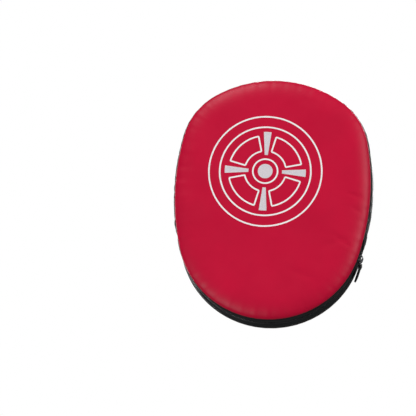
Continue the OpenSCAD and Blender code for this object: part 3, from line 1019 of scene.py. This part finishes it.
def eased(z, heights, values):
    """Values along z with their corners rounded over 16 mm, but kept as they are at the wrist."""
    reach = np.clip(np.asarray(z, float) - WRIST_ZONE, 0, 16)
    return sum(np.interp(z + k * reach, heights, values) for k in np.linspace(-1, 1, 9)) / 9


def cover_half(z):
    """Half width of the cover's arch at height z."""
    return eased(z, [WRIST_ZONE, -5, 25, 80], [COVER_HW, COVER_HW - 3, COVER_HW - 1, COVER_HW + 11])


def cover_height(z):
    """Height of the cover's arch at height z."""
    return eased(z, [WRIST_ZONE, 5, 40, 80], [COVER_H, COVER_H + 2, COVER_H - 1, COVER_H - 3])


def stall_profile(u, pleat):
    """Height across V-shaped pleats that widen with pleat: 0 in the folds and 1 on the crests."""
    v = np.mod((u + 1) / 2 * STALLS, 1.0)
    side = np.minimum(v, 1 - v)
    wide = 0.05 + 0.25 * pleat
    rise = np.sin(math.pi / 2 * np.clip(side / wide, 0, 1)) ** 0.62
    return rise * (1 - 0.14 * pleat * (1 - side / 0.5) ** 2)


def cover_xy(u, z):
    """Outer face of the cover: u from -1 to 1 across the arch, beyond that on the flanges."""
    u, z = np.broadcast_arrays(np.asarray(u, float), np.asarray(z, float))
    hw, full = cover_half(z), cover_height(z) - COVER_T
    c = np.clip(u, -1, 1)
    # The plain arch at the wrist
    r = (hw ** 2 + full ** 2) / (2 * full)
    a = c * np.arcsin(hw / r)
    round_x, round_y = r * np.sin(a), full - r + r * np.cos(a)
    # The finger stalls
    w = np.clip((z - STALL_LOW) / (STALL_FULL - STALL_LOW), 0, 1)
    fold = stall_profile(c, w)
    edge = smooth(0.86, 1.0, np.abs(c))
    lobes_x = hw * c - 1.3 * w * np.sin(2 * math.pi * np.mod((c + 1) / 2 * STALLS, 1.0)) * (1 - edge)
    lobes_y = full * (OUTER_STALL + (1 - OUTER_STALL) * np.cos(math.pi / 2 * c))
    # From one to the other, with the folds cut in
    spread = smooth(0, 1, w)
    x = round_x + (lobes_x - round_x) * spread
    y = round_y + (lobes_y - round_y) * spread
    deep = (1 - VALLEY) * w ** 0.75
    y = y * (1 - deep * (1 - fold) * (1 - edge)) * (1 - w * edge * (1 - fold))
    soft = smooth(WRIST_ZONE + 2, WRIST_ZONE + 18, z) * (1 - smooth(0.75, 1, np.abs(c)))
    y = y + soft * (0.8 * cover_swell(c * 1.7, z / 52) + 0.10 * cover_swell(c * 5 + 4, z / 20))
    on_flange = np.abs(u) > 1
    out = (np.abs(u) - 1) / (FLANGE_U - 1) * FLANGE_W
    x = np.where(on_flange, np.sign(u) * (hw + out), x)
    y = np.where(on_flange, 0, y)
    base = curved_y(0, np.maximum(z, WRIST_ZONE)) + COVER_CLEAR
    base = np.where(on_flange, back_y(x, z) + 0.1, base)
    return x, y + COVER_T + base


def cover_point(u, z, offset):
    """A point of the cover moved out by offset, across the section and level with it."""
    x, y = cover_xy(u, z)
    e = 0.004
    x1, y1 = cover_xy(u + e, z)
    x0, y0 = cover_xy(u - e, z)
    n = np.stack([-(y1 - y0), x1 - x0], -1)
    n = n / np.maximum(1e-6, np.linalg.norm(n, axis=-1))[..., None]
    return np.stack([x + n[..., 0] * offset, y + n[..., 1] * offset, z + 0 * x], -1)


def finger_edge(u):
    """Height of the cover's finger edge, lower towards the sides."""
    return COVER_TOP - 7 * np.minimum(1, np.abs(u)) ** 2


def thumb_cutter():
    """The cylinder that cuts the thumb hole and leaves a raw edge."""
    mesh = bpy.data.meshes.new("cutter")
    mesh.materials.append(RAW_EDGE)
    turn = Matrix.Rotation(THUMB_TURN, 4, "Z") @ Matrix.Rotation(-math.pi / 2, 4, "X")
    place = Matrix.Translation(Vector(THUMB) * MM) @ turn
    bm = bmesh.new()
    bmesh.ops.create_cone(bm, cap_ends=True, segments=72, radius1=THUMB_R * MM, radius2=THUMB_R * MM,
                          depth=THUMB_DEPTH * MM, matrix=place)
    bm.to_mesh(mesh)
    bm.free()
    return new_object("cutter", mesh)


def cut_thumb_hole(cover):
    """Cut the thumb hole, and keep the result as the cover's mesh."""
    cutter = thumb_cutter()
    cut = cover.modifiers.new("thumb_hole", "BOOLEAN")
    cut.operation = "DIFFERENCE"
    cut.object = cutter
    cut.solver = "MANIFOLD"
    cut.material_mode = "TRANSFER"
    bpy.context.view_layer.update()
    result = bpy.data.meshes.new_from_object(cover.evaluated_get(bpy.context.evaluated_depsgraph_get()))
    cover.modifiers.clear()
    cover.data = result
    bpy.data.objects.remove(cutter)


def make_cover():
    flange_u = np.array([FLANGE_U, 1.093, 1.08, 1.06, 1.04, 1.02, 1.006])
    u = np.concatenate([-flange_u, np.linspace(-1, 1, 193), flange_u[::-1]])
    rows = np.concatenate([[0, 0.004, 0.010, 0.02, 0.030, 0.036, 0.042], np.linspace(0.055, 0.945, 84),
                           [0.958, 0.964, 0.97, 0.98, 0.99, 0.996, 1.0]])
    U, R = np.meshgrid(u, rows)
    high = finger_edge(U)
    Z = COVER_BOTTOM + (high - COVER_BOTTOM) * R
    to_edge = np.minimum(Z - COVER_BOTTOM, high - Z)
    hem = 0.5 * (1 - smooth(3.6, HEM_LINE, to_edge)) - 0.3 * bell(to_edge - HEM_LINE, 0.5)
    hem = hem - edge_drop(to_edge, LIP_ROUND)
    on_flange = np.abs(U) > 1
    from_side = (FLANGE_U - np.abs(U)) / (FLANGE_U - 1) * FLANGE_W
    fold = np.where(on_flange, 0.25 * (1 - smooth(1.2, 2.2, from_side)), 0)
    outer = cover_point(U, Z, hem + fold)
    thick = (COVER_T + 0.15 * (to_edge < 4.2)) * np.where(on_flange, 0.8, 1)
    points, faces = closed_sheet(outer, cover_point(U, Z, -thick))
    cover = mesh_object("cover", points, faces, None, [COVER, RAW_EDGE])
    cut_thumb_hole(cover)
    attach(cover, "pad")
    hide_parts("hand_cover", "finger_binding", "wrist_binding")


def cover_row(name, u, z, material, length):
    """Stitches that follow the cover through (u, z) pairs."""
    path = cover_point(u, z, 0.0)
    stitches(name, path, cover_point(u, z, 1.0) - path, "pad", material, length=length, lift=0.1)


def make_cover_stitches():
    z = np.linspace(COVER_BOTTOM + 3, COVER_TOP - 11, 90)
    for side, sign in (("right", 1), ("left", -1)):
        cover_row(f"flange_stitches_{side}", np.full(90, sign * 1.045), z, THREAD, 3.0)
    u = np.linspace(-0.99, 0.99, 400)
    cover_row("finger_hem_stitches", u, finger_edge(u) - HEM_LINE, DARK_THREAD, 2.6)
    cover_row("wrist_hem_stitches", u, 0 * u + COVER_BOTTOM + HEM_LINE, DARK_THREAD, 2.6)


# ---- Wrist fastening ----

ARCH_R = (COVER_HW ** 2 + (COVER_H - COVER_T) ** 2) / (2 * (COVER_H - COVER_T))
STRAP_C = np.array([0.0, COVER_H - ARCH_R + curved_y(0, WRIST_ZONE) + COVER_CLEAR])
STRAP_LOW, STRAP_HIGH = node_box("wrist_strap")[0][2], node_box("wrist_strap")[1][2]
LOOP_IN, LOOP_T, HOOK_T, STRAP_T = ARCH_R + 0.8, 1.0, 0.6, 1.6
STRAP_MID = LOOP_IN + LOOP_T + HOOK_T + 0.4 + STRAP_T / 2
HINGE_TURN = math.radians(35)
STRAP_OPEN = math.radians(72)
HINGE = STRAP_C + STRAP_MID * np.array([-math.sin(HINGE_TURN), math.cos(HINGE_TURN)])


def arch(radius, degrees):
    """Points of the XY plane on a circle about the wrist arch, from its top towards +X."""
    a = np.radians(degrees)
    return STRAP_C + radius * np.stack([np.sin(a), np.cos(a)], -1)


def opened(q):
    """Points of the closed strap turned about its hinge to where the open strap is."""
    c, s = math.cos(STRAP_OPEN), math.sin(STRAP_OPEN)
    x, y = (q - HINGE).T
    return HINGE + np.stack([x * c - y * s, x * s + y * c], -1)


# The free part of the strap's middle line, as it lies open
BLADE = opened(arch(STRAP_MID, np.linspace(-29, 46, 90)))


def left_normals(line):
    """Unit normals of a line in the XY plane, to the left of it."""
    d = unit(np.gradient(line, axis=0))
    return np.stack([-d[:, 1], d[:, 0]], -1)


def strip(line, half_thick, z_low, z_high, corner, start_corner=0.0, across=19):
    """A strap along a line in the XY plane: points and faces, with rounded edges and corners."""
    n = left_normals(line)
    run = run_along(line)
    half = (z_high - z_low) / 2
    width = np.full(len(line), half)
    for gap, radius in ((run[-1] - run, corner), (run, start_corner)):
        if radius:
            width = np.minimum(width, half - edge_drop(np.maximum(gap, 0.005 * radius), radius))
    t = np.linspace(-1, 1, across)
    t = np.sign(t) * (1 - (1 - np.abs(t)) ** 1.4)
    past = np.clip((np.abs(t) * half - (half - half_thick)) / half_thick, 0, 1)
    edge = half_thick * np.sqrt(np.maximum(0.02, 1 - past ** 2))
    z = (z_high + z_low) / 2 + t * width[:, None]
    grids = []
    for off in (edge, -edge):
        x = line[:, 0, None] + n[:, 0, None] * off
        y = line[:, 1, None] + n[:, 1, None] * off
        grids.append(np.stack([x, y, z], -1))
    return closed_sheet(*grids)


def bezier(a, b, c, d, n):
    """n points of a cubic curve from a to d."""
    t = np.linspace(0, 1, n)[:, None]
    return (1 - t) ** 3 * a + 3 * t * (1 - t) ** 2 * b + 3 * t ** 2 * (1 - t) * c + t ** 3 * d


def make_strap():
    root = arch(STRAP_MID, np.linspace(-60, -41, 22))
    leaving = root[-1] + unit(root[-1] - root[-2]) * 4.6
    joining = BLADE[0] - unit(BLADE[1] - BLADE[0]) * 4.6
    bend = bezier(root[-1], leaving, joining, BLADE[0], 14)
    line = np.vstack([root[:-1], bend, BLADE[1:]])
    points, faces = strip(line, STRAP_T / 2, STRAP_LOW, STRAP_HIGH, corner=6.0)
    strap = mesh_object("strap_band", points, faces, None, COVER)
    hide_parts("wrist_strap", "strap_root")
    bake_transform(strap)


def make_strap_stitches():
    n = left_normals(BLADE)
    normals = np.column_stack([n, 0 * n[:, 0]])
    for name, z in (("low", STRAP_LOW + 2.4), ("high", STRAP_HIGH - 2.4)):
        path = np.column_stack([BLADE + n * STRAP_T / 2, np.full(len(BLADE), z)])
        stitches(f"strap_stitches_{name}", path[:-6], normals[:-6], "strap", DARK_THREAD, length=2.8)


def make_hook_and_loop():
    hook_line = opened(arch(STRAP_MID - STRAP_T / 2 - 0.25, np.linspace(12, 44, 40)))
    points, faces = strip(hook_line, HOOK_T / 2, STRAP_LOW + 3, STRAP_HIGH - 3, corner=2.5, start_corner=2.5)
    hook = mesh_object("hook_pad", points, faces, "strap", HOOK)
    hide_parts("hook_patch")
    loop_line = arch(LOOP_IN + LOOP_T / 2, np.linspace(58.5, -12, 90))
    points, faces = strip(loop_line, LOOP_T / 2, STRAP_LOW, STRAP_HIGH, corner=3, start_corner=1.5,
                          across=41)
    loop = mesh_object("loop_pad", points, faces, "pad", LOOP)
    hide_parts("loop_strap")


FIBRES = 150
FIBRE_R = 0.07


def make_fibres():
    """Frayed fibres along the loop strap's edges: thin bent tubes rooted in the pile."""
    rng = np.random.default_rng(51)
    parts = []
    for _ in range(FIBRES):
        degrees = rng.uniform(-11, 58)
        low_edge = rng.random() < 0.75
        z = STRAP_LOW + rng.uniform(-0.1, 0.8) if low_edge else STRAP_HIGH - rng.uniform(-0.1, 0.8)
        root = np.append(arch(LOOP_IN + LOOP_T * 0.6, degrees), z)
        out = np.append(arch(1.0, degrees) - STRAP_C, 0.0)
        along = np.array([out[1], -out[0], 0.0])
        drop = np.array([0, 0, -1.0 if low_edge else 1.0])
        length = rng.uniform(0.9, 3.2) if low_edge else rng.uniform(0.5, 1.4)
        first = drop * 0.6 + out * rng.uniform(0.1, 0.5) + along * rng.uniform(-0.6, 0.6)
        bend = along * rng.uniform(-1.0, 1.0) + out * rng.uniform(0.0, 0.5)
        steps = np.linspace(0, 1, 5)[:, None]
        path = root + length * (first * steps + bend * 0.5 * steps ** 2)
        parts.append(swept_tube(path, FIBRE_R, sides=5))
    points, faces = joined(parts)
    mesh_object("loop_fibres", points, faces, "pad", FIBRE)


# ---- Camera, light and floor ----

CAMERA_LENS = 171.2
CAMERA_DISTANCE = 2000.0
CAMERA_BELOW = math.radians(13.9)
CAMERA_SIDE = math.radians(3.0)
CAMERA_ROLL = math.radians(3.77)
AIM_RIGHT, AIM_UP = -64.5, -9.3
# Place in metres, diameter in metres and power in watts; all point at the origin
LIGHTS = {
    "key": ((1.75, -0.95, 0.95), 1.2, 15),
    "side": ((1.55, -1.05, 0.2), 0.9, 12),
    "top_left": ((-0.75, -1.00, 1.75), 1.4, 32),
    "low": ((-1.05, -1.10, -1.15), 1.3, 20),
    "rear": ((0.25, 1.90, 1.0), 1.2, 32),
    "rear_left": ((-0.8, 1.70, 0.3), 1.0, 10),
}
# Half size and height of the floor, in metres
FLOOR_HALF, FLOOR_Z = 40.0, -0.62
AMBIENT = 0.08


def make_camera():
    data = bpy.data.cameras.new("camera")
    data.lens = CAMERA_LENS
    data.sensor_width = 36.0
    cam = new_object("camera", data)
    centre = np.array([0.0, -(BAND_W + 3), 0.0])
    level = math.cos(CAMERA_BELOW)
    out = np.array([math.sin(CAMERA_SIDE) * level, -math.cos(CAMERA_SIDE) * level, -math.sin(CAMERA_BELOW)])
    right = unit(np.cross([0, 0, 1], out))
    up = np.cross(out, right)
    turned_right = right * math.cos(CAMERA_ROLL) + up * math.sin(CAMERA_ROLL)
    turned_up = -right * math.sin(CAMERA_ROLL) + up * math.cos(CAMERA_ROLL)
    place = centre + out * CAMERA_DISTANCE
    back = unit(place - (centre + turned_right * AIM_RIGHT + turned_up * AIM_UP))
    x = unit(np.cross(turned_up, back))
    axes = np.column_stack([x, np.cross(back, x), back, place * MM])
    cam.matrix_world = Matrix([*axes.tolist(), (0, 0, 0, 1)])
    bpy.context.scene.camera = cam


def make_lights():
    for name, (place, size, power) in LIGHTS.items():
        data = bpy.data.lights.new(name, "AREA")
        data.shape = "DISK"
        data.size = size
        data.energy = power
        lamp = new_object(name, data)
        lamp.location = place
        lamp.rotation_euler = (-Vector(place)).to_track_quat("-Z", "Y").to_euler()


def make_world():
    """A white backdrop for the camera, and a faint even light on the object."""
    world = bpy.data.worlds.new("studio")
    bpy.context.scene.world = world
    world.use_nodes = True
    nodes, links = world.node_tree.nodes, world.node_tree.links
    nodes.clear()
    path = nodes.new("ShaderNodeLightPath")
    mix = nodes.new("ShaderNodeMixShader")
    links.new(path.outputs["Is Camera Ray"], mix.inputs[0])
    for place, strength in ((1, AMBIENT), (2, 1.0)):
        background = nodes.new("ShaderNodeBackground")
        background.inputs["Color"].default_value = (1, 1, 1, 1)
        background.inputs["Strength"].default_value = strength
        links.new(background.outputs[0], mix.inputs[place])
    out = nodes.new("ShaderNodeOutputWorld")
    links.new(mix.outputs[0], out.inputs[0])
    bpy.context.scene.view_settings.view_transform = "Standard"


def make_floor():
    material = bpy.data.materials.new("floor")
    material.use_nodes = True
    shader = material.node_tree.nodes["Principled BSDF"]
    shader.inputs["Base Color"].default_value = (0.12, 0.12, 0.12, 1)
    shader.inputs["Roughness"].default_value = 0.9
    shader.inputs["Emission Color"].default_value = (1, 1, 1, 1)
    shader.inputs["Emission Strength"].default_value = 0.98
    corners = [(x * FLOOR_HALF, y * FLOOR_HALF, FLOOR_Z) for x, y in ((-1, -1), (1, -1), (1, 1), (-1, 1))]
    mesh = bpy.data.meshes.new("floor")
    mesh.from_pydata(corners, [], [(0, 1, 2, 3)])
    mesh.materials.append(material)
    floor = new_object("floor", mesh)
    # The floor neither lights the object nor blocks the low light
    floor.visible_diffuse = False
    floor.visible_glossy = False
    floor.visible_shadow = False


make_camera()
make_world()
make_lights()
make_floor()
make_face()
make_target()
make_side_band()
make_facings()
for part, toward in (("front", -1), ("back", 1)):
    make_zip_tape(part, toward)
    make_coil(part, toward)
make_stops()
make_slider()
make_link()
make_tab()
make_back()
painted("core_foam", FOAM)
make_cover()
make_cover_stitches()
make_strap()
make_strap_stitches()
make_hook_and_loop()
make_fibres()
